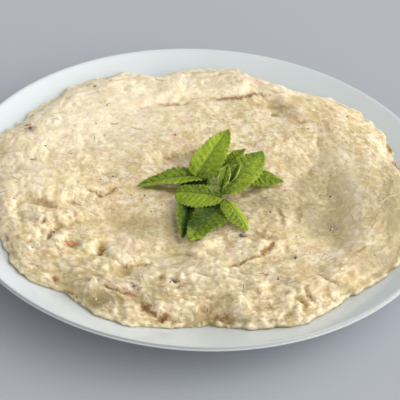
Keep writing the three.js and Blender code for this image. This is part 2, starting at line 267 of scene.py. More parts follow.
deselect_all()
bpy.ops.mesh.primitive_plane_add(size=FLOOR_SIZE)
floor = bpy.context.object
floor.name = "floor"
floor_grey, shader = new_material("floor_grey", 0.7)
shader.inputs["Base Color"].default_value = srgb(166, 169, 176)
floor.data.materials.append(floor_grey)
print("lamp and floor are in place")

# %% [markdown]
# ## The plate
#
# A coupe plate has no separate rim: its flat middle turns into one long curve that ends in a rounded lip, and
# it stands on a ring. A potter would call it a turned shape. It could be spun from a drawn section, but here
# it is drawn up as on a wheel: a circle is extruded ring after ring, each one widened and raised by a
# transform.

# %% The plate's section
PLATE_RADIUS = 132.42
PLATE_HEIGHT = 25.0
WELL_RADIUS = 62.0
WELL_HEIGHT = 7.0
RISE_POWER = 1.6
CHINA_THICKNESS = 4.0
LIP_RADIUS = 1.0
LIP_SIDE = 0.5
LIP_TOP = 24.6
RISE_END = 132.5
TOP_RADII = (20, 40, 55, 60, 62, 64, 67, 70, 75, 80, 86, 92, 98, 104, 110, 116, 121, 125, 128, 129.8)
UNDER_RADII = (126, 120, 113, 106, 99, 92, 86, 82)
FOOT_AND_RECESS = [  # radius and height
    (79.6, 3.6), (79.2, 1.2), (78.7, 0.35), (78, 0), (75, 0), (74.3, 0.35), (73.8, 1.2), (73, 2.6), (72, 3),
    (40, 3), (20, 3),
]
PLATE_SIDES = 180


def glaze_height(radius):
    rise = max(0.0, radius - WELL_RADIUS) / (RISE_END - WELL_RADIUS)
    return WELL_HEIGHT + (PLATE_HEIGHT - WELL_HEIGHT) * rise**RISE_POWER


def plate_section():
    """Radius and height in mm, from the middle of the top, round the lip, to the middle underneath."""
    top = [(r, glaze_height(r)) for r in TOP_RADII]
    lip = []
    for turn in range(80, -81, -20):
        angle = math.radians(turn)
        drop = LIP_RADIUS * (1 - math.sin(angle)) + (LIP_SIDE if turn < 0 else 0)
        lip.append((PLATE_RADIUS - LIP_RADIUS * (1 - math.cos(angle)), LIP_TOP - drop))
    under = [(r, glaze_height(r) - CHINA_THICKNESS * (1 + 0.12 * r / PLATE_RADIUS)) for r in UNDER_RADII]
    return top + lip + under + FOOT_AND_RECESS


section = plate_section()
print(f"the plate's section has {len(section)} points")

# %% Turn the plate
deselect_all()
first_radius, first_height = section[0]
start = (0, 0, first_height * MM)
bpy.ops.mesh.primitive_circle_add(vertices=PLATE_SIDES, radius=first_radius * MM, location=start)
plate = bpy.context.object
bpy.ops.object.transform_apply(location=True)
edit_all()
for (r0, z0), (r1, z1) in zip(section, section[1:]):
    bpy.ops.mesh.extrude_edges_move()
    bpy.ops.transform.resize(value=(r1 / r0, r1 / r0, 1), center_override=(0, 0, 0))
    bpy.ops.transform.translate(value=(0, 0, (z1 - z0) * MM))
bpy.ops.mesh.extrude_edges_move()
bpy.ops.mesh.merge(type="CENTER")
stop_editing()


def select_where(obj, test):
    """In edit mode, selects just the vertices whose place passes the test."""
    bpy.ops.object.mode_set(mode="EDIT")
    bpy.ops.mesh.select_all(action="DESELECT")
    stop_editing()
    for vertex in obj.data.vertices:
        vertex.select = bool(test(vertex.co))
    bpy.ops.object.mode_set(mode="EDIT")


def on_first_ring(co):
    return abs(co.z - first_height * MM) < 1e-6 and math.hypot(co.x, co.y) < (first_radius + 0.01) * MM


select_where(plate, on_first_ring)
bpy.ops.mesh.select_mode(type="EDGE")
bpy.ops.mesh.extrude_edges_move()
bpy.ops.mesh.merge(type="CENTER")
bpy.ops.mesh.select_mode(type="VERT")
bpy.ops.mesh.select_all(action="SELECT")
bpy.ops.mesh.remove_doubles(threshold=1e-6)
bpy.ops.mesh.normals_make_consistent(inside=False)
stop_editing()
bpy.ops.object.shade_smooth()
print(f"plate: {plate.dimensions.x / MM:.2f} mm across, {plate.dimensions.z / MM:.2f} mm high")

# %% [markdown]
# Glaze is glass over white clay. Most of its look is in the reflections, so the material is a cool white with
# a hard, clear gloss, a very slight waviness where the glaze pooled, a thin brownish line round the outer edge
# of the lip, and a greyer foot ring, where the clay is bare.

# %% China glaze
china_glaze, shader = new_material("china_glaze", 0.12, IOR=1.5, Coat_Weight=0.3, Coat_Roughness=0.05)
where = add_node(china_glaze, "TexCoord").outputs["Object"]
height = add_node(china_glaze, "SeparateXYZ", Vector=where).outputs["Z"]
tint = between(china_glaze, speckle(china_glaze, where, 14.0, detail=3.0), 0.35, 0.65)
glazed = blend_colours(china_glaze, tint, srgb(209, 215, 215), srgb(203, 210, 211))
bare = between(china_glaze, height, 0.0006, 0.0016, 1.0, 0.0)
glazed = blend_colours(china_glaze, bare, glazed, srgb(205, 200, 190))
from_axis = add_node(china_glaze, "VectorMath", {"operation": "MULTIPLY"}, Vector=where)
from_axis.inputs[1].default_value = (1.0, 1.0, 0.0)
radius = add_node(china_glaze, "VectorMath", {"operation": "LENGTH"}, Vector=from_axis.outputs[0])
on_edge = between(china_glaze, radius.outputs["Value"], 0.1315, 0.1318)
on_edge = calculate(china_glaze, "MULTIPLY", on_edge, between(china_glaze, height, 0.0237, 0.0239))
on_edge = calculate(china_glaze, "MULTIPLY", on_edge, 0.6)
glazed = blend_colours(china_glaze, on_edge, glazed, srgb(136, 118, 106))
put(china_glaze, glazed, shader.inputs["Base Color"])
put(china_glaze, between(china_glaze, bare, 0.0, 1.0, 0.1, 0.6, smooth=False), shader.inputs["Roughness"])
waves = speckle(china_glaze, where, 60.0, detail=1.0)
bump = add_node(china_glaze, "Bump", Strength=0.05, Distance=0.001, Height=waves)
put(china_glaze, bump.outputs[0], shader.inputs["Normal"])
finish_piece(plate, "china_plate", china_glaze, ["plate"])

# %% [markdown]
# ## The dip
#
# Mashed aubergine with tahini is a stiff, curdled paste. The spoon leaves long ledges and troughs, which the
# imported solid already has. Between them the surface is all small lumps with cracks, strands and pits. The
# solid's skin is copied, its loose triangles are merged, and two rounds of Catmull-Clark subdivision give it
# enough points to be sculpted. The sculpting is done with noise fields, because a hand would need thousands
# of strokes.

# %% A fine skin for the dip
deselect_all()
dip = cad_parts["dip"].copy()
dip.data = dip.data.copy()
dip.parent = None
for key_name in list(dip.keys()):
    del dip[key_name]
bpy.context.scene.collection.objects.link(dip)
select_only(dip)
edit_all()
bpy.ops.mesh.remove_doubles(threshold=1e-6)
stop_editing()
dip.data.materials.clear()
subdivide = dip.modifiers.new("finer", "SUBSURF")
subdivide.levels = subdivide.render_levels = 2
bpy.ops.object.modifier_apply(modifier=subdivide.name)
bpy.ops.object.shade_smooth()
print(f"dip's skin: {len(dip.data.vertices)} points, {triangles(dip)} triangles")


# %% Fields that shape the paste
noise.seed_set(3)  # noise vectors start from this number, so every run gives the same paste


def smooth_step(t):
    t = min(1.0, max(0.0, t))
    return t * t * (3 - 2 * t)


def warped(p, size, amount, seed):
    """The point pushed about by noise, so that a pattern on it loses its regularity."""
    q = p / size + Vector((seed, -seed, 2 * seed))
    return p + amount * noise.noise_vector(q)


def curds(p, size, seed):
    """Rounded lumps about `size` mm across with cracks between them: 1 on top of a lump, 0 in a crack."""
    near, next_near = noise.voronoi(p / size + Vector((seed, seed, seed)))[0][:2]
    return 1 - math.exp(-(((next_near - near) / 0.35) ** 2))


def torn(p, size, seed, octaves):
    """Soft swellings that meet in sharp valleys, at several sizes at once, like mash pulled apart."""
    q = p / size + Vector((seed, seed, seed))
    return noise.turbulence(q, octaves, True, amplitude_scale=0.6, frequency_scale=2.1)


SWIRL_RADIUS = 42.0  # mm from the middle, where the strokes stretch nothing


def swirled(x, y):
    """The place in a space where a pattern comes out drawn round the middle, the way the spoon went."""
    r = max(1.0, math.hypot(x, y))
    return Vector((r, SWIRL_RADIUS * x / r, SWIRL_RADIUS * y / r))


def soft_spot(x, y, at_x, at_y, half_x, half_y):
    """1 at a place, fading to nothing round it. Takes numbers or arrays of them."""
    return np.exp(-(((x - at_x) / half_x) ** 2) - ((y - at_y) / half_y) ** 2)


def coarseness(x, y):
    """How broken the paste is: most on the near side and at the edge, least where the spoon drew last."""
    drawn = soft_spot(x, y, -25, 45, 62, 36)
    trough = soft_spot(x, y, 72, -12, 13, 38)
    shelf = soft_spot(x, y, -32, -34, 22, 16)
    smeared = soft_spot(x, y, -84, -10, 16, 11)
    torn_left = soft_spot(x, y, -84, -36, 20, 26)
    near = smooth_step((-y - 15) / 45)
    rim = smooth_step((math.hypot(x, y) - 84) / 18)
    right = smooth_step((x - 30) / 40) * smooth_step((y + 110) / 25)
    heaped = math.exp(-(((x - 8) / 50) ** 2)) * smooth_step((-y - 52) / 25)
    rough = 0.7 + 0.12 * near + 0.2 * rim + 0.4 * heaped + 0.35 * torn_left
    rough -= 0.34 * drawn + 0.3 * trough + 0.3 * shelf + 0.3 * smeared
    return max(0.28, rough * (1 - 0.5 * right))


print("fields ready")

# %% [markdown]
# On top of that even roughness, the spoon left single marks that the eye goes to: folds with a thin pale
# crest and a brown crack under it, and pits where the paste tore. Each fold is a short path with its crest on
# the left hand of someone who walks along it, and its crack on the right.

# %% Folds and pits
FOLDS = [  # path, height of the crest, depth of the crack, half-width, how brown the crack is
    ([(-93, -18), (-86, -21), (-79, -24), (-71, -26)], 0.7, 1.0, 2.3, 0.45),
    ([(-70, -20.5), (-64, -21.5), (-59, -22)], 0.8, 1.2, 1.5, 0.6),
    ([(-60, -27), (-61, -20), (-61, -14)], 0.3, 0.8, 1.6, 0.5),
    ([(-64, -13), (-60, -11), (-56, -12), (-53, -14), (-48, -10), (-44, -7), (-37, -6)], 0.7, 1.0, 1.5, 0.8),
    ([(-92, -46), (-97, -33), (-95, -21)], 1.3, 0.8, 2.6, 0.2),
    ([(-79, -57), (-84, -46), (-90, -37)], 1.4, 1.0, 2.8, 0.3),
    ([(-78, -33), (-74, -36), (-71, -43), (-72, -50)], 1.1, 0.9, 1.8, 0.4),
    ([(-65, -30), (-63, -38), (-66, -46)], 0.8, 0.8, 1.5, 0.4),
    ([(-60, -55), (-58, -61), (-54, -66)], 1.0, 0.8, 1.1, 0.5),
    ([(-53, -67), (-52.5, -60), (-51, -54)], 1.1, 0.3, 1.2, 0.3),
    ([(-46.5, -54), (-45, -61), (-44, -69)], 1.1, 0.3, 1.2, 0.3),
    ([(-41, -70), (-34, -72.5), (-26, -69), (-22, -67)], 0.8, 1.2, 1.3, 0.6),
    ([(-62, -82), (-52, -80), (-44, -84)], 0.8, 0.7, 1.4, 0.4),
    ([(-84, -72), (-76, -78), (-66, -80)], 0.8, 0.8, 1.6, 0.4),
    ([(-67, -88), (-61, -90.5), (-55, -92.5)], 0.5, 1.0, 1.0, 0.8),
    ([(-49, -88), (-42, -91), (-36, -93), (-29, -95.5)], 0.8, 1.4, 1.3, 0.9),
    ([(-96, -54), (-90, -56), (-83, -58)], 0.5, 0.7, 1.4, 0.4),
    ([(-25, -100.5), (-20, -104), (-12, -109)], 0.9, 1.3, 2.4, 0.9),
    ([(-12, -90), (-5, -84), (-5, -76)], 1.2, 0.8, 1.8, 0.3),
    ([(-16, -56), (-4, -59), (6, -66)], 0.7, 0.9, 1.6, 0.4),
    ([(42, -51), (40, -54), (37, -58), (34, -61)], 0.9, 1.8, 2.0, 1.0),
    ([(37, -59), (30, -63), (22, -67), (14, -71)], 0.6, 1.2, 1.2, 0.8),
    ([(22, -46), (30, -41), (40, -44)], 0.6, 1.2, 1.8, 0.4),
    ([(43, -18), (46, -26), (44, -36)], 1.0, 1.1, 1.6, 0.5),
    ([(52, -12), (55, -22), (52, -33)], 0.9, 0.7, 1.8, 0.3),
    ([(30, -84), (33, -90), (30, -98)], 0.8, 0.9, 1.7, 0.4),
    ([(22, -93), (19.5, -101), (20, -108)], 1.6, 1.0, 3.0, 0.4),
    ([(61, -96), (56, -89), (54, -82)], 1.0, 1.4, 1.8, 0.7),
    ([(54, -103), (54, -96), (49, -88)], 0.9, 1.3, 1.7, 0.7),
    ([(71, -91), (66, -86), (64, -79)], 0.8, 1.0, 1.7, 0.5),
    ([(60, -72), (68, -76), (74, -80)], 0.7, 1.0, 1.2, 0.6),
    ([(80, -58), (86, -52), (90, -48)], 0.5, 0.8, 1.0, 0.5),
    ([(-30, 73), (-22, 75), (-13, 75), (-6, 79)], 0.8, 1.2, 1.4, 0.5),
    ([(-4, 81), (10, 82.5), (20, 83), (28, 86), (34, 85), (42, 76)], 0.3, 0.6, 1.2, 0.85),
    ([(-24, 21), (-14, 27), (-4, 31), (4, 33)], 0.5, 0.8, 1.8, 0.6),
    ([(-58, 22), (-66, 28), (-70, 40)], 0.7, 0.6, 2.0, 0.1),
    ([(-86, 4), (-84, 18), (-88, 30)], 0.8, 0.7, 2.0, 0.2),
    ([(-48, 96), (-44, 88), (-43, 78)], 1.0, 0.7, 2.0, 0.1),
    ([(62, 26), (58, 34), (50, 42)], 0.6, 0.7, 1.6, 0.3),
]
PITS = [  # x, y, half-length along x and along y, depth (less than 0 is a swelling), how brown
    (-75, -4, 7, 20, -1.1, 0), (-88, -6, 7, 14, 0.6, 0),
    (-80, -42, 1.8, 2.6, 1.8, 0.8), (-76, -53, 1.3, 4.0, 2.0, 0.9), (-64, -58.5, 4.8, 2.0, 0.9, 0.5),
    (-49.2, -60.5, 1.7, 4.8, 2.2, 0.9), (-54, -88, 1.4, 1.4, 1.0, 0.7), (-48, -87, 1.4, 1.2, 1.0, 0.6),
    (-70, -84, 2.2, 1.3, 1.0, 0.8), (-22, -102.5, 4.2, 2.2, 0.8, 0.8), (-14, -107.5, 4.0, 2.2, 0.9, 0.9),
    (-10, -84, 2.4, 2.6, 0.9, 0.7), (-16, -81, 2.2, 3.0, 0.7, 0.5), (7, -101, 3.6, 2.4, 1.0, 0.7),
    (14, -103.5, 4.0, 2.6, 1.2, 0.8), (19, -106, 3.0, 2.0, 1.0, 0.7), (32, -101, 3.0, 2.8, 1.4, 0.6),
    (47, -104, 2.4, 2.6, 1.2, 0.6),
    (23, -45, 1.4, 1.9, 1.2, 0.9), (45, -88, 3.0, 2.4, 1.5, 0.5), (38, -99, 3.6, 2.6, 1.4, 0.5),
    (32, -46, 6.0, 3.0, 1.0, 0.3), (62, -73, 2.4, 1.2, 0.8, 0.6), (40, 70, 2.2, 2.0, 1.5, 0.6),
    (32, 77, 6.0, 4.0, 1.2, 0.4), (56, 60, 4.0, 2.0, 0.9, 0.5), (65, 45, 1.6, 5.0, 1.1, 0.4),
    (-20, 22, 2.2, 1.8, 0.9, 0.5), (-50, 50, 2.0, 0.8, 0.6, 0.7), (-82, -27, 7.0, 2.0, 0.9, 0.4),
    (106, 47, 2.6, 7.0, 0.6, 1.0), (109, 30, 2.2, 7.0, 0.6, 1.0), (60, 22, 2.0, 4.0, 0.9, 0.3),
]


def along_path(points, path):
    """Each point's distance to the path, positive on its left, and how far along the path it lies."""
    best = np.full(len(points), 1e9)
    side = np.ones(len(points))
    along = np.zeros(len(points))
    path = np.array(path, dtype=float)
    for k, (start, end) in enumerate(zip(path, path[1:])):
        way = end - start
        offset = points - start
        share = np.clip(offset @ way / (way @ way), 0, 1)
        away = offset - share[:, None] * way
        distance = np.hypot(away[:, 0], away[:, 1])
        nearer = distance < best
        best[nearer] = distance[nearer]
        side[nearer] = np.where(way[0] * away[nearer, 1] - way[1] * away[nearer, 0] >= 0, 1, -1)
        along[nearer] = (k + share[nearer]) / (len(path) - 1)
    return best * side, along


def soft_step(values):
    values = np.clip(values, 0, 1)
    return values * values * (3 - 2 * values)


def mark_folds(points):
    """How far the folds and pits move each point up or down, and how brown they leave it."""
    lift, brown = np.zeros(len(points)), np.zeros(len(points))
    # The brown left in cracks and pits is partly the paste's own colour and partly painted shade.
    for path, crest, crack, width, stain in FOLDS:
        distance, along = along_path(points, path)
        ends = soft_step(along / 0.22) * soft_step((1 - along) / 0.22)
        up = ends * soft_step(distance / width + 0.3) * np.exp(-np.maximum(distance, 0) / (3 * width))
        down = ends * np.exp(-(((distance + 0.9 * width) / width) ** 2))
        lift += 0.65 * crest * up - 0.5 * crack * down
        brown = np.maximum(brown, stain * down)
    for x, y, half_x, half_y, depth, stain in PITS:
        hole = np.exp(-((((points[:, 0] - x) / half_x) ** 2 + ((points[:, 1] - y) / half_y) ** 2) ** 1.5))
        lift -= 0.8 * depth * hole
        brown = np.maximum(brown, stain * hole)
    return lift, brown


print(f"{len(FOLDS)} folds, {len(PITS)} pits")

# %% [markdown]
# Where it meets the plate, real paste spreads into a frayed, uneven foot, while the solid's side tucks in.
# The foot could be pulled out by hand, a little at a time. Here each point near the glaze is moved outwards
# by its height and its bearing, which reaches all round at once, and then let down to the glaze.

# %% Draw the foot out
FOOT_HEIGHT = 4.0  # mm above the glaze
EDGE_FROM = 98.0  # mm from the middle
mesh = dip.data
count = len(mesh.vertices)


def read_points(name):
    """The mesh's places ("co", in metres) or its normals ("normal"), one row a point."""
    values = np.zeros(count * 3)
    mesh.vertices.foreach_get(name, values)
    return values.reshape(-1, 3)


def write_places():
    mesh.vertices.foreach_set("co", (places * MM).ravel())
    mesh.update()


EDGE_SHIFT = 1.2  # mm outwards, all round
EDGE_SHIFTS = [  # bearing and half-width in degrees, and mm outwards: where the edge strays from that
    (-90, 38, -2.8), (-94, 7, -1.6), (50, 6, 1.4), (116, 10, 0.8), (108, 3, -2.4), (30, 14, -1.2),
    (8, 14, -1.8), (-30, 14, -0.8), (150, 9, -2.4), (-150, 12, -1.8), (132, 5, -1.5),
]

places = read_points("co") / MM
frayed = np.zeros(count)
for k in range(count):
    p = Vector(places[k])
    frayed[k] = 1.6 * noise.noise(p / 7.0 + Vector((5, 1, 2))) + 0.8 * noise.noise(p / 3.5)
radii = np.hypot(places[:, 0], places[:, 1])
on_glaze = np.array([glaze_height(r) for r in radii])
above = places[:, 2] - on_glaze
bearing = np.degrees(np.arctan2(places[:, 1], places[:, 0]))
shift = np.full(count, EDGE_SHIFT)
for towards, half_width, amount in EDGE_SHIFTS:
    shift += amount * np.exp(-(((bearing - towards) / half_width) ** 2))
spread = 1.3 * np.clip(FOOT_HEIGHT - above, 0, FOOT_HEIGHT) * np.clip((radii - 60) / 40, 0, 1)
edge = frayed * np.clip((8 - above) / 5, 0, 1) + shift - 0.4
spread += np.clip((radii - EDGE_FROM) / 10, 0, 1) * edge
places[:, :2] *= (1 + spread / np.maximum(radii, 1))[:, None]
below = np.array([glaze_height(r) for r in radii + spread])
places[:, 2] += np.where(above < FOOT_HEIGHT, below - on_glaze, 0)
# The subdivision rounded the bottom edge off: what it rounded is pressed flat on the glaze.
ROUNDED = 1.6
rounding = np.clip(above, 0, ROUNDED)
pressed = 0.06 + 0.94 * rounding * (rounding / ROUNDED) ** 2
places[:, 2] += np.where(radii > EDGE_FROM, pressed - rounding, 0)
write_places()
normals = read_points("normal")
# 1 where the paste is free to be shaped, 0 where it lies on the glaze.
free = np.clip((above - 0.5) / 1.2, 0, 1) * np.clip((normals[:, 2] + 0.7) / 0.6, 0, 1)
print(f"the foot is drawn out by {spread.max():.1f} mm at most")

# %% [markdown]
# Now every point is pushed along its normal by the lumps and cracks, and up or down by the folds and pits.
# The folds see each point a little astray, so that their lines come out ragged.

# %% Push the lumps out and the cracks in
push = np.zeros(count)
swirl = np.zeros((count, 3))
strayed = places[:, :2].copy()
for k in range(count):
    if free[k] == 0:
        continue
    x, y, z = places[k]
    p = Vector((x, y, 0.8 * z))
    rough = coarseness(x, y)
    bent = warped(warped(p, 11.0, 4.0, 3.0), 4.0, 1.3, 7.0)
    lumps = curds(bent, 8.0, 1.0)
    crumbs = curds(warped(p, 3.0, 1.2, 5.0), 3.4, 2.0)
    swell = noise.noise(p / 14.0 + Vector((3, 8, 1)))
    swirl[k] = swirled(x, y)
    dragged = torn(Vector(swirl[k]) + 0.6 * (bent - p), 7.0, 9.0, 3)
    push[k] = rough * (
        1.4 * (torn(bent, 14.0, 4.0, 4) - 0.5)
        + 0.8 * (dragged - 0.5)
        + 0.35 * (lumps - 0.6)
        + 0.18 * (crumbs - 0.6)
    ) + (0.45 + 1.4 * max(0.0, rough - 0.85)) * swell
    ragged = noise.noise_vector(p / 3.2) * 0.8 + noise.noise_vector(p / 8.0) * 1.6
    strayed[k] += ragged[0], ragged[1]
lift, brown = mark_folds(strayed)
# Where the paste meets the glaze it is painted browner and more olive, as painted contact shade.
foot = np.exp(-((above / 1.3) ** 2)) * np.clip((radii - EDGE_FROM) / 6, 0, 1)
brown = np.maximum(brown * free, 0.8 * foot)
places += normals * (push * free)[:, None]
places[:, 2] += lift * free * np.clip(normals[:, 2], 0, 1)
write_places()
print(f"sculpted from {push.min():.2f} to {push.max():.2f} mm, mean {push.mean():.2f}")

# %% [markdown]
# Cracks in the paste look darker and browner than the lumps, because light gets lost in them and the strands
# of aubergine gather there. So each point keeps how deep it lies below its surroundings, for the material to
# read: it paints the cracks and hollows darker and browner, partly as painted shade and partly as strands, and
# the tops of the lumps paler, as painted light.

# %% Measure hollows
edges = np.zeros(len(mesh.edges) * 2, dtype=np.int64)
mesh.edges.foreach_get("vertices", edges)
edges = edges.reshape(-1, 2)
neighbours = np.bincount(edges.ravel(), minlength=count).astype(float)


def averaged(values, rounds):
    for _ in range(rounds):
        total = np.bincount(edges[:, 0], values[edges[:, 1]], count)
        total += np.bincount(edges[:, 1], values[edges[:, 0]], count)
        values = 0.5 * values + 0.5 * total / neighbours
    return values


smooth_places = np.stack([averaged(places[:, axis], 14) for axis in range(3)], axis=1)
fine_relief = ((places - smooth_places) * normals).sum(axis=1)
wide_places = np.stack([averaged(smooth_places[:, axis], 60) for axis in range(3)], axis=1)
wide_relief = ((smooth_places - wide_places) * normals).sum(axis=1)
# Each stain is x, y, half-length along x and along y, and how much.
LEAF_SHADE_SPOTS = [  # painted shadow under the mint's leaves, olive green
    (-28, -7.4, 5, 1.6, 0.8), (-20, -7.4, 7, 2.6, 1.0), (-10, -7.0, 7, 3.0, 1.0), (0, -2, 8, 4, 0.9),
    (12, -3, 8, 3.5, 0.9), (24, -5, 6, 3, 0.4), (31, -3, 5, 2.6, 0.5), (38, -0.6, 5, 1.8, 0.65),
    (-13, -33, 1.6, 12, 0.4), (1, -45, 5, 2.5, 0.35),
]
OLIVE_AND_SHADE_SPOTS = [  # olive and a little darker: partly oil and juice, partly painted shade
    (72, -12, 8, 26, 0.25), (60, 12, 8, 10, 0.35), (-10, 24, 14, 9, 0.7), (-32, -38, 24, 15, 0.6),
    (31, -44, 10, 8, 0.6), (34, -14, 12, 12, 0.5), (56, -6, 10, 24, 0.4), (-6, -66, 18, 8, 0.4),
    (20, 60, 40, 18, 0.15), (36, -26, 18, 14, 0.3), (100, -24, 18, 50, 0.5), (56, -10, 26, 40, 0.35),
    (14, -96, 60, 26, 0.55), (-52, -80, 30, 20, 0.45), (-81, -25, 11, 3, 0.7), (66, -30, 10, 14, 0.55),
    (48, 27, 9, 8, 0.45), (106, -8, 7, 44, 0.8), (98, -56, 16, 10, 0.5), (28, -64, 12, 9, 0.4),
    (64, -70, 12, 8, 0.3), (-43, -100, 12, 5, 0.6), (4, -107, 9, 4, 0.6), (90, -66, 9, 7, 0.5),
    (76, -80, 12, 6, 0.5),
]
SMOKED = [  # where char from the skin is mixed in, greyish purple
    (-30, -90, 4, 3.4, 0.8), (-10, -84, 2.4, 3, 0.8), (-74, -49, 2.2, 3, 0.6), (23, -45, 3, 2.4, 0.8),
    (-96, 40, 3.4, 3, 1.0), (72, -27, 4, 4, 0.6), (106, 28, 3, 6, 0.6), (51, -60, 2, 1.6, 0.5),
    (36, -75, 9, 3, 0.5), (96, -14, 9, 5, 0.5), (-47, 1, 3, 2, 0.5), (-92, 10, 3, 3, 0.5),
    (70, 4, 5, 8, 0.4), (-84, -62, 5, 4, 0.4),
]
PALE_AND_LIT_SPOTS = [  # paler: partly drier paste, partly painted light
    (-62, 58, 50, 40, 0.9), (-96, -6, 24, 50, 0.5), (0, 92, 60, 22, 0.6), (0, -72, 26, 18, 0.7),
    (-7, -104, 8, 4, 0.8), (23, -105, 3.5, 5, 1.0), (81, -10, 7, 30, 0.5), (72, 30, 9, 9, 0.6),
    (80, 10, 7, 12, 0.4), (84, -40, 6, 10, 0.4), (-35, -46, 8, 6, 0.5), (20, -90, 8, 6, 0.4),
    (-65, -77, 7, 6, 0.6), (-43, -56, 4, 7, 0.6), (84, 22, 6, 6, 0.3),
]


def blotches(spots):
    """How strongly each point of the paste is stained by a list of soft round spots."""
    total = np.zeros(count)
    for x, y, half_x, half_y, amount in spots:
        total += amount * soft_spot(strayed[:, 0], strayed[:, 1], x, y, half_x, half_y)
    return total


fields = dict(fine_relief=fine_relief, wide_relief=wide_relief, brown=brown)
fields.update(soaked=blotches(OLIVE_AND_SHADE_SPOTS) + 0.6 * foot, juiced=blotches(LEAF_SHADE_SPOTS))
fields.update(smoked=blotches(SMOKED), dry=blotches(PALE_AND_LIT_SPOTS))
for name, values in fields.items():
    attribute = mesh.attributes.new(name, "FLOAT", "POINT")
    attribute.data.foreach_set("value", values.astype(np.float32))
    print(f"{name}: {np.percentile(values, 2):.2f} to {np.percentile(values, 98):.2f}")
swirl_attribute = mesh.attributes.new("swirl", "FLOAT_VECTOR", "POINT")
swirl_attribute.data.foreach_set("vector", (swirl * MM).astype(np.float32).ravel())

# %% [markdown]
# A paste has no single colour. Cream, tan and pinkish mottles of several sizes are laid over each other, some
# of them drawn out round the middle as the spoon drew them, and then the stains, some of which are painted
# light and shade. Light sinks into a paste and comes out warmer, which the shader's subsurface share does. The
# mottles could be painted by hand, but worked-out noise stays sharp at any distance.

# %% Paste material
paste, shader = new_material(
    "aubergine_paste",
    0.42,
    Subsurface_Weight=0.8,
    Subsurface_Radius=(1.0, 0.72, 0.38),
    Subsurface_Scale=0.0045,
    Specular_IOR_Level=0.35,
)


def strayed_by(vector, scale, amount):
    """A place pushed about by noise, in metres, so that patches get torn outlines."""
    wander = add_node(paste, "TexNoise", Vector=vector, Scale=scale, Detail=1.0).outputs["Color"]
    node = add_node(paste, "VectorMath", {"operation": "MULTIPLY_ADD"})
    for value, socket in zip((wander, (amount, amount, amount), vector), node.inputs):
        put(paste, value, socket)
    return node.outputs[0]


def stained(base, value, low, high, most, colour):
    """Blends a colour in where the value passes from low to high, up to the share `most`."""
    return blend_colours(paste, between(paste, value, low, high, 0.0, most), base, srgb(*colour))


where = add_node(paste, "TexCoord").outputs["Object"]
smeared = strayed_by(where, 220.0, 0.004)
drawn = strayed_by(read_field(paste, "swirl", "Vector"), 220.0, 0.004)
MOTTLES = [  # where, scale, detail, roughness, from and to in the noise, the largest share, colour
    (smeared, 45.0, 4.0, 0.6, 0.4, 0.64, 0.8, (226, 208, 162)),
    (drawn, 120.0, 3.0, 0.6, 0.46, 0.6, 0.85, (214, 194, 142)),
    (where, 95.0, 3.0, 0.6, 0.5, 0.64, 0.7, (220, 194, 168)),
    (drawn, 230.0, 2.0, 0.5, 0.54, 0.66, 0.6, (196, 166, 116)),
    (smeared, 300.0, 3.0, 0.6, 0.5, 0.64, 0.6, (198, 174, 124)),
    (drawn, 560.0, 2.0, 0.6, 0.52, 0.66, 0.5, (180, 156, 110)),
    (where, 330.0, 2.0, 0.5, 0.56, 0.68, 0.5, (250, 240, 214)),
]
cream = srgb(238, 224, 192)
for place, scale, detail, roughness, low, high, most, colour in MOTTLES:
    cream = stained(cream, speckle(paste, place, scale, detail, roughness), low, high, most, colour)
fine, wide = read_field(paste, "fine_relief"), read_field(paste, "wide_relief")
soaked, browned = read_field(paste, "soaked"), read_field(paste, "brown")
streaks = calculate(paste, "MULTIPLY", speckle(paste, drawn, 420.0, 3.0, 0.6), soaked)
patchy = between(paste, speckle(paste, where, 480.0, 3.0, 0.65), 0.36, 0.6, 0.3, 1.1)
patchy = calculate(paste, "MULTIPLY", patchy, browned)
burnt_and_shaded = calculate(paste, "MULTIPLY", speckle(paste, where, 900.0, 2.0, 0.6), browned)
STAINS = [  # value, from and to, the largest share, colour
    # Paler spots: partly drier paste, partly painted light.
    (read_field(paste, "dry"), 0.0, 1.0, 0.55, (246, 236, 212)),
    # Olive spots: partly oil and juice, partly painted shade.
    (soaked, 0.0, 1.2, 0.75, (184, 164, 118)),
    (streaks, 0.18, 0.5, 0.65, (146, 132, 94)),
    # Lump tops painted paler, as painted light; cracks and wide hollows painted darker and browner, as painted
    # shade and gathered strands.
    (fine, 0.05, 0.45, 0.45, (244, 233, 210)),
    (fine, -0.05, -0.55, 0.6, (184, 156, 100)),
    (wide, 0.0, -1.4, 0.45, (194, 172, 122)),
    # Brown in cracks, pits and at the foot, darkest in specks: partly the paste's own colour, partly painted
    # shade.
    (patchy, 0.05, 0.9, 0.9, (156, 116, 60)),
    (read_field(paste, "smoked"), 0.1, 1.0, 0.75, (158, 130, 122)),
    (burnt_and_shaded, 0.3, 0.5, 0.7, (122, 86, 46)),
    # Painted shadow under the mint's leaves, olive green.
    (read_field(paste, "juiced"), 0.15, 0.9, 0.85, (142, 134, 28)),
]
for stain in STAINS:
    cream = stained(cream, *stain)
put(paste, cream, shader.inputs["Base Color"])
grain = speckle(paste, smeared, 520.0, 4.0, 0.65)
grain = calculate(paste, "ADD", grain, speckle(paste, drawn, 380.0, 3.0, 0.6))
bump = add_node(paste, "Bump", Strength=0.45, Distance=0.0009, Height=grain)
put(paste, bump.outputs[0], shader.inputs["Normal"])
finish_piece(dip, "aubergine_dip", paste, ["dip"])

# %% [markdown]
# ## What is mashed into the dip
#
# Small golden seeds, flakes of charred skin, dark specks and pinkish strands lie in the surface, most of them
# half sunk. One of each kind is shaped from a sphere, lying flat with its height as its thickness. Each copy
# is turned, sized, bent, and let down point by point onto the paste, so that it follows every lump it lies
# on.

# %% Letting a bit down onto the paste
surface = BVHTree.FromObject(dip, bpy.context.evaluated_depsgraph_get())
chance = random.Random(11)
ABOVE_ALL = 60.0  # mm above the table
LOWEST_GROUND = 12.0  # mm above the table: lower down is the foot's edge
REACH = 114  # mm from the middle


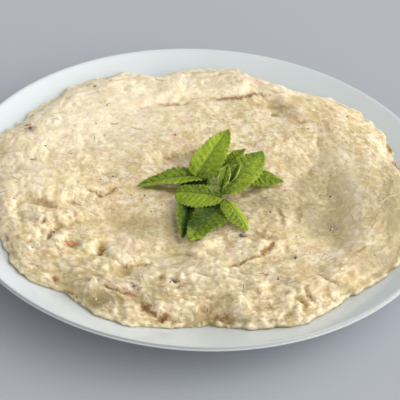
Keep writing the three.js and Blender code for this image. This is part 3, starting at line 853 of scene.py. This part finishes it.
def surface_height(x, y):
    """How high the paste is at a place, in mm, or None where there is none."""
    place = surface.ray_cast(Vector((x, y, ABOVE_ALL)) * MM, -UP)[0]
    return None if place is None else place.z / MM


def flat_shape(length, width, thickness, segments, rings):
    """A long drop shape that lies along X, in mm, with few faces. It is only a pattern for the copies."""
    deselect_all()
    lying = (0, math.pi / 2, 0)
    bpy.ops.mesh.primitive_uv_sphere_add(segments=segments, ring_count=rings, radius=0.5, rotation=lying)
    bpy.ops.object.transform_apply(rotation=True)
    edit_all()
    bpy.ops.transform.resize(value=(length, width, thickness))
    stop_editing()
    return bpy.context.object


def let_down(pattern, x, y, turn, stretch=1.0, size=1.0, bend=0.0, sink=0.0):
    """Adds a copy of the pattern at a place. Returns nothing if it would hang over the edge of the dip."""
    mesh = pattern.data.copy()
    cos, sin = math.cos(turn), math.sin(turn)
    for vertex in mesh.vertices:
        along, across, up = vertex.co
        along, across = along * size * stretch, across * size + bend * (along * size * stretch) ** 2
        at_x, at_y = x + cos * along - sin * across, y + sin * along + cos * across
        ground = surface_height(at_x, at_y)
        if ground is None or ground < LOWEST_GROUND:
            bpy.data.meshes.remove(mesh)
            return None
        vertex.co = Vector((at_x, at_y, ground + up * size - sink)) * MM
    bit = bpy.data.objects.new(pattern.name, mesh)
    bpy.context.scene.collection.objects.link(bit)
    return bit


def lay(bits, *place, **form):
    """Lets a bit down and adds it to the others, if it lies on the dip."""
    bit = let_down(*place, **form)
    if bit:
        bits.append(bit)


def scatter(pattern, count, stretch, size, bend=0.0, sink=0.0):
    """Lets down that many copies at random places, with stretch and size between two limits each."""
    bits = []
    while len(bits) < count:
        x, y = chance.uniform(-REACH, REACH), chance.uniform(-REACH, REACH)
        turn, curl = chance.uniform(0, 2 * math.pi), chance.uniform(-bend, bend)
        long, big = chance.uniform(*stretch), chance.uniform(*size)
        lay(bits, pattern, x, y, turn, stretch=long, size=big, bend=curl, sink=sink)
    return bits


def join_bits(bits, pattern, name, material):
    """Makes one piece of all the copies and throws the pattern away."""
    bpy.data.objects.remove(pattern)
    deselect_all()
    for bit in bits:
        bit.select_set(True)
    bpy.context.view_layer.objects.active = bits[0]
    bpy.ops.object.join()
    bpy.ops.object.shade_smooth()
    return finish_piece(bits[0], name, material)


print(f"the paste is {surface_height(0, 0):.1f} mm high in the middle")

# %% Material for the bits
def bit_material(name, first, second, roughness=0.45):
    """Two colours that change from one bit to the next and a little within each."""
    material, shader = new_material(name, roughness, Specular_IOR_Level=0.35)
    where = add_node(material, "TexCoord").outputs["Object"]
    mix = between(material, speckle(material, where, 260.0, 3.0), 0.38, 0.62)
    put(material, blend_colours(material, mix, srgb(*first), srgb(*second)), shader.inputs["Base Color"])
    return material


print("bits' materials are one recipe with two colours each")

# %% Seeds
seed = flat_shape(2.2, 1.5, 0.5, 8, 5)
seeds = scatter(seed, 240, (0.8, 1.1), (0.6, 1.1), sink=0.1)
join_bits(seeds, seed, "aubergine_seeds", bit_material("seed_gold", (220, 200, 154), (204, 180, 132)))

# %% Strands
LAID_STRANDS = [  # x, y, direction in degrees, length in mm: those that show most
    (-61, -90.3, -20, 10), (-44, -90, -18, 9), (-36, -93, -15, 9), (-54.5, -30, -20, 6), (-56, -79, -14, 8),
    (-50, 50, -5, 5), (59, -89, -58, 11), (64, -92, -55, 8), (83, -53.5, 40, 12), (104, -6, 35, 7),
    (98, -12, 50, 6), (92, -32, 70, 6), (-37, 14, -5, 8), (-27, 14, 8, 6), (15, 61, 30, 6), (12, 59, 100, 5),
    (-72, 21, 60, 5), (71, -28, 80, 6), (66, -31, 30, 4), (-26, 92, -10, 7), (75, -66, 10, 7),
]
STRAND_LENGTH = 6.0
strand = flat_shape(STRAND_LENGTH, 0.9, 0.3, 5, 9)
strands = scatter(strand, 90, (0.6, 1.4), (0.6, 1.1), bend=0.05, sink=0.02)
for x, y, degrees, length in LAID_STRANDS:
    lay(strands, strand, x, y, math.radians(degrees), stretch=length / STRAND_LENGTH, size=1.1, bend=0.02)
join_bits(strands, strand, "aubergine_strands", bit_material("strand_tan", (212, 182, 136), (206, 172, 148)))

# %% Flakes of skin
LAID_FLAKES = [  # x, y, direction in degrees, length in mm, width in mm: those that show most
    (-64, -57, -6, 8, 2.8), (-92, 10, 20, 2.4, 1.6), (40, 70, 20, 3.4, 2.2), (62, -73, -15, 3.4, 1.2),
    (-98, 43, 10, 5, 2.4), (-30.5, -95, -18, 5, 1.3), (36, -74, 10, 2.6, 1.2), (70, -30, 60, 2, 1),
    (56, 60, 5, 3.4, 1.2), (94, 53, 20, 3, 1.2),
]
FLAKE_LENGTH = 3.0
flake = flat_shape(FLAKE_LENGTH, 1.0, 0.16, 8, 7)
flakes = scatter(flake, 14, (0.4, 0.7), (0.8, 1.3), bend=0.08)
for x, y, degrees, length, width in LAID_FLAKES:
    stretch = length / FLAKE_LENGTH / width
    lay(flakes, flake, x, y, math.radians(degrees), stretch=stretch, size=width, bend=0.02)
join_bits(flakes, flake, "aubergine_skin", bit_material("skin_brown", (204, 146, 98), (172, 120, 88)))

# %% Dark specks
LAID_SPECKS = [  # x, y, size in mm
    (-30, -90, 1.7), (-10, -84, 1.8), (-74, -49, 1.6), (23, -45, 1.8), (24, -43, 1.3), (51, -60, 1.7),
    (42, -77, 1.4), (38, -24, 1.4), (46, -2, 1.0), (-47, 1, 1.4), (-45.5, 0, 1.0), (-29, -14, 1.3),
    (-25, -27, 1.1), (70.9, -0.3, 1.3), (82, 67, 1.2), (-96, 40, 2.2), (71, -27, 1.2), (-12, -86, 1.1),
    (-31, -88, 1.0), (106, 28, 1.3), (-71, 19, 1.0), (65.3, 0.7, 1.1), (55.4, 18, 1.0), (59.5, 54.6, 1.0),
    (70.5, -29.5, 1.3), (-86, 24, 1.2), (22, 40, 0.9), (-60, 48, 0.9),
]
SPECKS_PER_SPOT = 10
speck = flat_shape(1.0, 0.8, 0.5, 7, 4)
specks = scatter(speck, 45, (0.8, 1.6), (0.35, 0.7))
for x, y, half_x, half_y, amount in SMOKED:
    for _ in range(round(SPECKS_PER_SPOT * amount)):
        at_x, at_y = chance.gauss(x, 0.5 * half_x), chance.gauss(y, 0.5 * half_y)
        turn, size = chance.uniform(0, math.pi), chance.uniform(0.3, 0.75)
        lay(specks, speck, at_x, at_y, turn, stretch=1.2, size=size)
for x, y, size in LAID_SPECKS:
    lay(specks, speck, x, y, math.radians(40 * x), stretch=1.1, size=size)
join_bits(specks, speck, "charred_specks", bit_material("char_grey", (80, 68, 72), (112, 90, 84)))

# %% [markdown]
# ## The mint
#
# A mint leaf is a thin blade with toothed margins, quilted between its side veins. It could be sculpted, but
# twelve like it come easier from one recipe: a flat grid of points, as if cut from paper, where `u` runs from
# the stalk to the tip and `v` from one margin to the other. Then the grid is bent to the leaf's own pose.

# %% Leaf poses
# In each pose, pale gives how light each half's green is: partly the leaf's own tone, partly painted light and
# shade for lit and shaded halves. pale_tip sets the tip's lightness, also painted light and shade.
LEAVES = {
    "leaf_top": dict(
        base=(-2.4, 0.2, 27.6), tip=(14, 31, 37.7), arch=1.5, half=8.8, lean=0.2, fold=12, roll=-7,
        blunt=0.24, point=0.7, pale=(0.96, 0.82),
    ),
    "leaf_left": dict(
        base=(3, 4, 25.4), tip=(-33.4, -8, 25), arch=1.9, half=7.6, lean=-0.1, fold=13, roll=-2, point=1.0,
        pale=(0.72, 0.5),
    ),
    "leaf_back": dict(
        base=(13, 8, 27.6), tip=(24, 20, 33), arch=1, half=4.6, fold=12, roll=10, pale=(0.7, 0.8),
    ),
    "leaf_right": dict(
        base=(12, -14.5, 27.2), tip=(33, 14, 36.2), arch=2, half=9.1, fold=-11, roll=-6, blunt=0.72,
        point=0.7, pale=(0.6, 0.68), edge=0.5,
    ),
    "leaf_far_right": dict(
        base=(18, 5, 27), tip=(45.4, 1.5, 26), arch=0.6, half=6.4, fold=-6, roll=-12, pale=(0.6, 0.6),
    ),
    "leaf_middle": dict(
        base=(12, -21.6, 30.6), tip=(-12.6, -17.5, 29.2), arch=1.6, half=7.4, lean=-0.15, fold=-7, roll=15,
        point=0.4, pale=(0.82, 0.48),
    ),
    "leaf_near_left": dict(
        base=(-4.4, -18.7, 23.8), tip=(-7.4, -50.4, 25), half=5.8, lean=0.3, fold=34, roll=4, blunt=0.4,
        point=0.75, pale=(0.1, 0.32), turn=0.5,
    ),
    "leaf_near": dict(
        base=(13, -20.5, 26.2), tip=(-4, -53, 26), arch=1.3, half=8.9, lean=-0.1, fold=8, point=0.7,
        pale=(0.4, 0.08), pale_tip=0.75,
    ),
    "leaf_near_right": dict(
        base=(13.2, -20.1, 29.1), tip=(26, -43.9, 27.5), arch=1.2, half=5.5, lean=0.2, fold=-12, roll=10,
        blunt=0.65, point=0.7, pale=(1.0, 0.66),
    ),
    "leaf_under": dict(
        base=(14, -2.2, 24.5), tip=(-10.5, -2.2, 23.4), arch=0.4, half=6.2, fold=3, pale=(1.9, 1.9),
        pale_tip=-0.5, tip_from=0.3,
    ),
    "leaf_bud_left": dict(
        base=(11.5, -12.6, 30.6), tip=(14.5, 0.9, 36.1), arch=1, half=3.3, fold=18, roll=-6,
        pale=(0.57, 0.62), edge=1.6,
    ),
    "leaf_bud_right": dict(
        base=(16.2, -7.8, 31.5), tip=(21.2, 1.7, 36.5), arch=1, half=3, fold=20, roll=6, pale=(0.42, 0.5),
        edge=1.7,
    ),
}
LEAF_STEPS = 96
LEAF_STEPS_ACROSS = 28
LEAF_THICKNESS = 0.35
TEETH = 13
VEIN_PAIRS = 9
VEIN_SLANT = 0.75
VEIN_CURVE = 0.012


def leaf_outline(u, blunt, point):
    """The share of its width that a leaf has at u. Small powers make blunt ends, large ones sharp ends."""
    widest = blunt / (blunt + point)
    return (u / widest) ** blunt * ((1 - u) / (1 - widest)) ** point


def tooth(u):
    """One margin's teeth: each rises slowly towards the tip of the leaf and drops back at once."""
    share = (u * TEETH) % 1.0
    return share if share < 0.8 else (1 - share) * 4


def vein_phase(along, across, length):
    """Counts the side veins from the stalk on. They leave the midrib at a slant and curve a little."""
    return VEIN_PAIRS * (along - VEIN_SLANT * abs(across) + VEIN_CURVE * across * across) / length


def leaf_point(u, v, base, tip, arch=0, half=8, lean=0, fold=0, roll=0, blunt=0.5, point=0.85):
    """Where the leaf's point is on the dish, and where it was on the flat leaf, in mm along and across."""
    base, tip = Vector(base), Vector(tip)
    along = (tip - base).normalized()
    side = Quaternion(along, -math.radians(roll)) @ along.cross(UP).normalized()
    up = side.cross(along)
    length = (tip - base).length
    margin = smooth_step((abs(v) - 0.72) / 0.28)
    reach = v * half * (1 + lean * ((v > 0) - (v < 0))) * leaf_outline(u, blunt, point)
    reach *= 1 + margin * (0.22 * tooth(u) - 0.09)
    veins = abs(math.sin(math.pi * vein_phase(u * length, reach, length))) ** 0.7
    quilt = 0.38 * veins * smooth_step(abs(v) * 5) * (1 - v**4)
    crease = -0.5 * math.exp(-((reach / 0.8) ** 2)) * (1 - u)
    bow = 4 * arch * u * (1 - u)
    rise = abs(reach) * math.sin(math.radians(fold))
    ripple = 0.07 * half * v * v * math.sin(14 * u + 2 * v)
    place = base.lerp(tip, u) + side * reach * math.cos(math.radians(fold))
    return place + up * (bow + rise + ripple + quilt + crease), (u * length, reach)


def paleness(u, v, pale, pale_tip=None, tip_from=0.72, turn=0.0, edge=0.3):
    """How light and yellow the green is, from 0 to 1 and over: partly the leaf's own tone and partly painted
    light and shade; less at the stalk, and more at the edge.
    """
    value = pale[0] + (pale[1] - pale[0]) * smooth_step((v - turn) / 0.2 + 0.5)
    value -= 0.28 * (1 - smooth_step(u / 0.45))
    value += edge * smooth_step((abs(v) - 0.86) / 0.14)
    if pale_tip is not None:
        value += (pale_tip - value) * smooth_step((u - tip_from) / 0.2)
    return value


print(f"{len(LEAVES)} leaves, {TEETH} teeth a side")

# %% [markdown]
# Between its veins a mint leaf is a net of small wrinkles. Their tops stay pale, and painted shade darkens the
# blade beside the veins, along the midrib and in the creases of the net. The material reads where each point
# was on the flat leaf, so its veins lie in the grooves of the bent one. A picture of a leaf could be laid on
# instead, but then no two leaves could differ.

# %% Leaf material
leaf_green, shader = new_material(
    "mint_leaf",
    0.5,
    Subsurface_Weight=0.2,
    Subsurface_Radius=(0.6, 1.0, 0.1),
    Subsurface_Scale=0.0008,
    Specular_IOR_Level=0.18,
)


def leaf_sum(operation, *values, clamp=False):
    """A Math node of the leaf's own material."""
    return calculate(leaf_green, operation, *values, clamp=clamp)


flat = read_field(leaf_green, "leaf_flat", "Vector")
along, across, length = add_node(leaf_green, "SeparateXYZ", Vector=flat).outputs
side_way = leaf_sum("ABSOLUTE", across)
phase = leaf_sum("SUBTRACT", along, leaf_sum("MULTIPLY", side_way, VEIN_SLANT))
phase = leaf_sum("ADD", phase, leaf_sum("MULTIPLY", leaf_sum("POWER", side_way, 2.0), VEIN_CURVE))
phase = leaf_sum("DIVIDE", leaf_sum("MULTIPLY", phase, float(VEIN_PAIRS)), length)
to_vein = leaf_sum("PINGPONG", phase, 0.5)
vein = between(leaf_green, to_vein, 0.03, 0.11, 1.0, 0.0)
beside_vein = between(leaf_green, to_vein, 0.08, 0.2, 1.0, 0.0)
rib = between(leaf_green, side_way, 0.14, 0.34, 1.0, 0.0)
beside_rib = between(leaf_green, side_way, 0.3, 0.9, 1.0, 0.0)

mottle = speckle(leaf_green, flat, 0.5, detail=4.0, roughness=0.6)
wrinkles = speckle(leaf_green, flat, 1.8, detail=3.0, roughness=0.6)
net = add_node(leaf_green, "TexVoronoi", {"feature": "DISTANCE_TO_EDGE"}, Vector=flat, Scale=0.9)
net = net.outputs["Distance"]
shade = read_field(leaf_green, "paleness")
shade = leaf_sum("ADD", shade, between(leaf_green, mottle, 0.3, 0.7, -0.2, 0.2))
# Painted shade: darker in the creases of the wrinkle net and, below, beside the veins and the midrib.
shade = leaf_sum("SUBTRACT", shade, between(leaf_green, net, 0.0, 0.2, 0.07, 0.0))
shade = leaf_sum("ADD", shade, between(leaf_green, wrinkles, 0.35, 0.65, -0.14, 0.14))
shade = leaf_sum("SUBTRACT", shade, leaf_sum("MULTIPLY", leaf_sum("MAXIMUM", beside_vein, beside_rib), 0.25))
yellowness = leaf_sum("MAXIMUM", shade, 0.0, clamp=True)
green = blend_colours(leaf_green, yellowness, srgb(44, 70, 14), srgb(158, 178, 46))
green = blend_colours(leaf_green, between(leaf_green, shade, 1.1, 1.7), green, srgb(206, 218, 132))
line = leaf_sum("MAXIMUM", rib, leaf_sum("MULTIPLY", vein, 0.75))
line = leaf_sum("MULTIPLY", line, between(leaf_green, shade, 0.0, 0.6, 0.3, 0.8))
green = blend_colours(leaf_green, line, green, srgb(174, 194, 84))
put(leaf_green, green, shader.inputs["Base Color"])

sunk = leaf_sum("MAXIMUM", between(leaf_green, to_vein, 0.0, 0.16, 0.6, 0.0), rib)
relief = leaf_sum("SUBTRACT", between(leaf_green, net, 0.0, 0.3, 0.0, 0.5), sunk)
relief = leaf_sum("ADD", relief, leaf_sum("MULTIPLY", wrinkles, 0.8))
bump = add_node(leaf_green, "Bump", Strength=0.8, Distance=0.0006, Height=relief)
put(leaf_green, bump.outputs[0], shader.inputs["Normal"])
print(f"leaf material: {len(leaf_green.node_tree.nodes)} nodes")


# %% Bend each leaf from a flat grid
GREENS = ("pale", "pale_tip", "tip_from", "turn", "edge")


def make_leaf(name, pose):
    deselect_all()
    bpy.ops.mesh.primitive_grid_add(x_subdivisions=LEAF_STEPS, y_subdivisions=LEAF_STEPS_ACROSS, size=1)
    leaf = bpy.context.object
    length = (Vector(pose["tip"]) - Vector(pose["base"])).length
    shape = {k: value for k, value in pose.items() if k not in GREENS}
    greens = {k: value for k, value in pose.items() if k in GREENS}
    leaf.data.attributes.new("leaf_flat", "FLOAT_VECTOR", "POINT")
    leaf.data.attributes.new("paleness", "FLOAT", "POINT")
    for k, vertex in enumerate(leaf.data.vertices):
        u, v = vertex.co.x + 0.5, 2 * vertex.co.y
        place, (along, across) = leaf_point(u, v, **shape)
        vertex.co = place * MM
        leaf.data.attributes["leaf_flat"].data[k].vector = (along, across, length)
        leaf.data.attributes["paleness"].data[k].value = paleness(u, v, **greens)
    edit_all()
    bpy.ops.mesh.remove_doubles(threshold=1e-6)
    stop_editing()
    thicken = leaf.modifiers.new("thickness", "SOLIDIFY")
    thicken.thickness = LEAF_THICKNESS * MM
    thicken.offset = 0
    bpy.ops.object.modifier_apply(modifier=thicken.name)
    edit_all()
    bpy.ops.mesh.normals_make_consistent(inside=False)
    stop_editing()
    bpy.ops.object.shade_smooth()
    return finish_piece(leaf, "mint_" + name, leaf_green, [name])


for name, pose in LEAVES.items():
    make_leaf(name, pose)

# %% [markdown]
# The stems show only in glimpses between the leaves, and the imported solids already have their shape. So they
# are kept, and only painted: green, with the brown flush that cut mint stems have.

# %% Stem material
stem_skin, shader = new_material("mint_stem", 0.45)
where = add_node(stem_skin, "TexCoord").outputs["Object"]
flush = between(stem_skin, speckle(stem_skin, where, 300.0), 0.35, 0.65)
stem_green = blend_colours(stem_skin, flush, srgb(150, 146, 78), srgb(138, 104, 78))
put(stem_skin, stem_green, shader.inputs["Base Color"])
for node in ("stem_main", "stem_back", "stem_side"):
    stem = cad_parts[node]
    stem.data.materials.clear()
    stem.data.materials.append(stem_skin)
print("stems painted")
